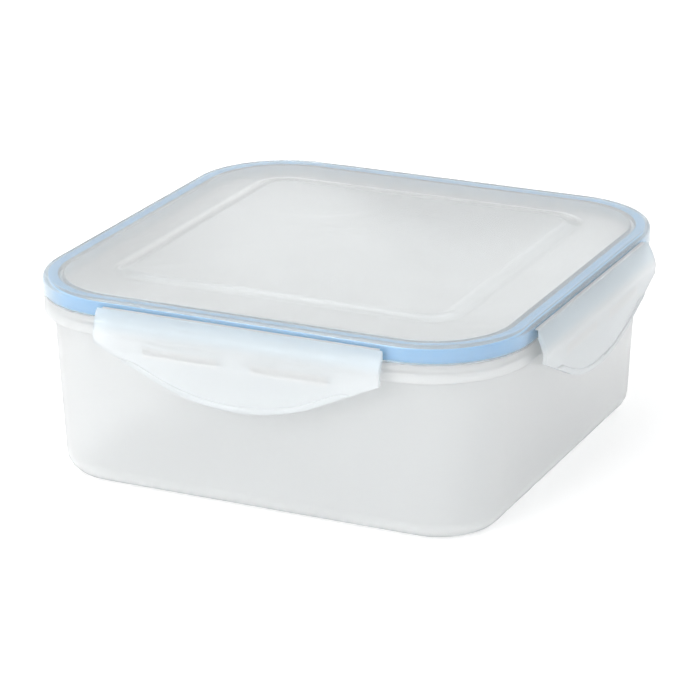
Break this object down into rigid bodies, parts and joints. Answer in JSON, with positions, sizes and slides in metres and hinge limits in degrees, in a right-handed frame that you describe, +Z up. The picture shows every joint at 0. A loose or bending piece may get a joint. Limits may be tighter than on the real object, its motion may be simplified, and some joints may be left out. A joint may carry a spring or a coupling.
{
  "type": "food storage container",
  "caption": "Square see-through plastic food box with a soft-sealed lid that hinged side clips lock down.",
  "frame": {"origin": "middle of the base, on the surface it stands on", "axes": "+Z up, -Y to the front clip, +X to the right clip"},
  "size_m": [0.175, 0.175, 0.067],
  "materials": {
    "tub_plastic": "frosted see-through polypropylene",
    "lid_plastic": "frosted see-through polypropylene",
    "clip_plastic": "frosted see-through polypropylene",
    "hinge_plastic": "frosted see-through polypropylene",
    "seal_silicone": "smooth pale blue silicone"
  },
  "bodies": {
    "tub": {"tub": "tub_plastic"},
    "lid": {"lid": "lid_plastic", "seal": "seal_silicone", "front_hinge_strip": "hinge_plastic", "right_hinge_strip": "hinge_plastic", "rear_hinge_strip": "hinge_plastic", "left_hinge_strip": "hinge_plastic"},
    "front_clip": {"front_clip": "clip_plastic"},
    "right_clip": {"right_clip": "clip_plastic"},
    "rear_clip": {"rear_clip": "clip_plastic"},
    "left_clip": {"left_clip": "clip_plastic"}
  },
  "joints": [
    {"name": "lid_lift", "type": "slide", "parent": "tub", "child": "lid", "axis": [0, 0, 1], "range_m": [0, 0.07]},
    {"name": "front_clip_swing", "type": "hinge", "parent": "lid", "child": "front_clip", "pos_m": [0, -0.0833, 0.0637], "axis": [-1, 0, 0], "range_deg": [0, 130], "deforming": ["front_hinge_strip"]},
    {"name": "right_clip_swing", "type": "hinge", "parent": "lid", "child": "right_clip", "pos_m": [0.0833, 0, 0.0637], "axis": [0, -1, 0], "range_deg": [0, 130], "deforming": ["right_hinge_strip"]},
    {"name": "rear_clip_swing", "type": "hinge", "parent": "lid", "child": "rear_clip", "pos_m": [0, 0.0833, 0.0637], "axis": [1, 0, 0], "range_deg": [0, 130], "deforming": ["rear_hinge_strip"]},
    {"name": "left_clip_swing", "type": "hinge", "parent": "lid", "child": "left_clip", "pos_m": [-0.0833, 0, 0.0637], "axis": [0, 1, 0], "range_deg": [0, 130], "deforming": ["left_hinge_strip"]}
  ]
}
